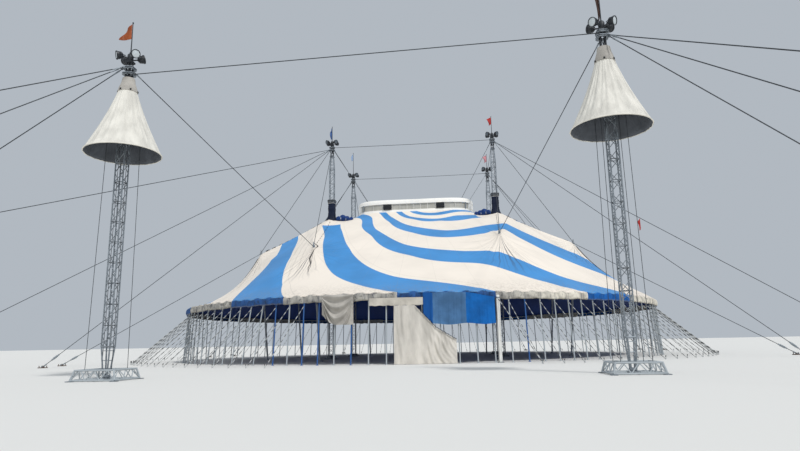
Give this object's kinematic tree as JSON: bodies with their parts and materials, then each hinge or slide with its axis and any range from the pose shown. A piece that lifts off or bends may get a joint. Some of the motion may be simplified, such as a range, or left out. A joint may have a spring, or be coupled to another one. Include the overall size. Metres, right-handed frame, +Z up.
{
  "type": "circus big top tent, scale model at one tenth",
  "caption": "Round circus big top with blue spiral stripes on white, an oblong cupola between lattice masts, guyed side poles and cone-capped forecourt masts, as a one-tenth scale model.",
  "frame": {"origin": "centre of the bounding box on the ground", "axes": "+X to the right seen from the entrance, +Y from the entrance to the back, +Z up"},
  "size_m": [7.06, 9.81, 2.701],
  "materials": {
    "roof_fabric": "coated tent cloth, white with blue spiral stripes",
    "pole_steel": "pale grey paint, some blue",
    "sleeve_fabric": "navy coated cloth",
    "lamp_metal": "dark satin paint",
    "cable_steel": "weathered wire rope",
    "mast_steel": "galvanised steel",
    "base_steel": "pale grey paint",
    "cone_fabric": "cream coated cloth",
    "cupola_fabric": "white coated cloth over a frame",
    "band_fabric": "grey mesh cloth",
    "box_metal": "black satin paint",
    "wall_fabric": "blue coated cloth",
    "post_paint": "white paint",
    "entrance_fabric": "white translucent cloth"
  },
  "bodies": {
    "root": {"roof_front_left": "roof_fabric", "side_poles_front_left": "pole_steel", "quarter_pole_front_left_outer": "pole_steel", "quarter_pole_front_left_inner": "pole_steel", "roof_front_right": "roof_fabric", "side_poles_front_right": "pole_steel", "quarter_pole_front_right_outer": "pole_steel", "quarter_pole_front_right_inner": "pole_steel", "roof_back_left": "roof_fabric", "side_poles_back_left": "pole_steel", "quarter_pole_back_left_outer": "pole_steel", "quarter_pole_back_left_inner": "pole_steel", "roof_back_right": "roof_fabric", "side_poles_back_right": "pole_steel", "quarter_pole_back_right_outer": "pole_steel", "quarter_pole_back_right_inner": "pole_steel", "mast_front_left": "mast_steel", "mast_sleeve_front_left": "sleeve_fabric", "mast_head_front_left": "lamp_metal", "stays_front_left": "cable_steel", "mast_front_right": "mast_steel", "mast_sleeve_front_right": "sleeve_fabric", "mast_head_front_right": "lamp_metal", "stays_front_right": "cable_steel", "mast_back_left": "mast_steel", "mast_sleeve_back_left": "sleeve_fabric", "mast_head_back_left": "lamp_metal", "stays_back_left": "cable_steel", "mast_back_right": "mast_steel", "mast_sleeve_back_right": "sleeve_fabric", "mast_head_back_right": "lamp_metal", "stays_back_right": "cable_steel", "mast_tie_cables": "cable_steel", "cupola_base": "cupola_fabric", "cupola_side_band": "band_fabric", "cupola_cap": "cupola_fabric", "cupola_box_front_left": "box_metal", "cupola_box_front_right": "box_metal", "cupola_box_back_left": "box_metal", "cupola_box_back_right": "box_metal", "entrance_swag": "entrance_fabric", "entrance_fascia": "entrance_fabric", "entrance_wall_wing": "entrance_fabric", "entrance_blue_wall": "wall_fabric", "entrance_post": "post_paint", "forecourt_base_left": "base_steel", "forecourt_mast_left": "mast_steel", "cone_cap_left": "cone_fabric", "forecourt_head_left": "lamp_metal", "forecourt_stays_left": "cable_steel", "forecourt_base_right": "base_steel", "forecourt_mast_right": "mast_steel", "cone_cap_right": "cone_fabric", "forecourt_head_right": "lamp_metal", "forecourt_stays_right": "cable_steel", "forecourt_tie_cable": "cable_steel"}
  },
  "joints": []
}
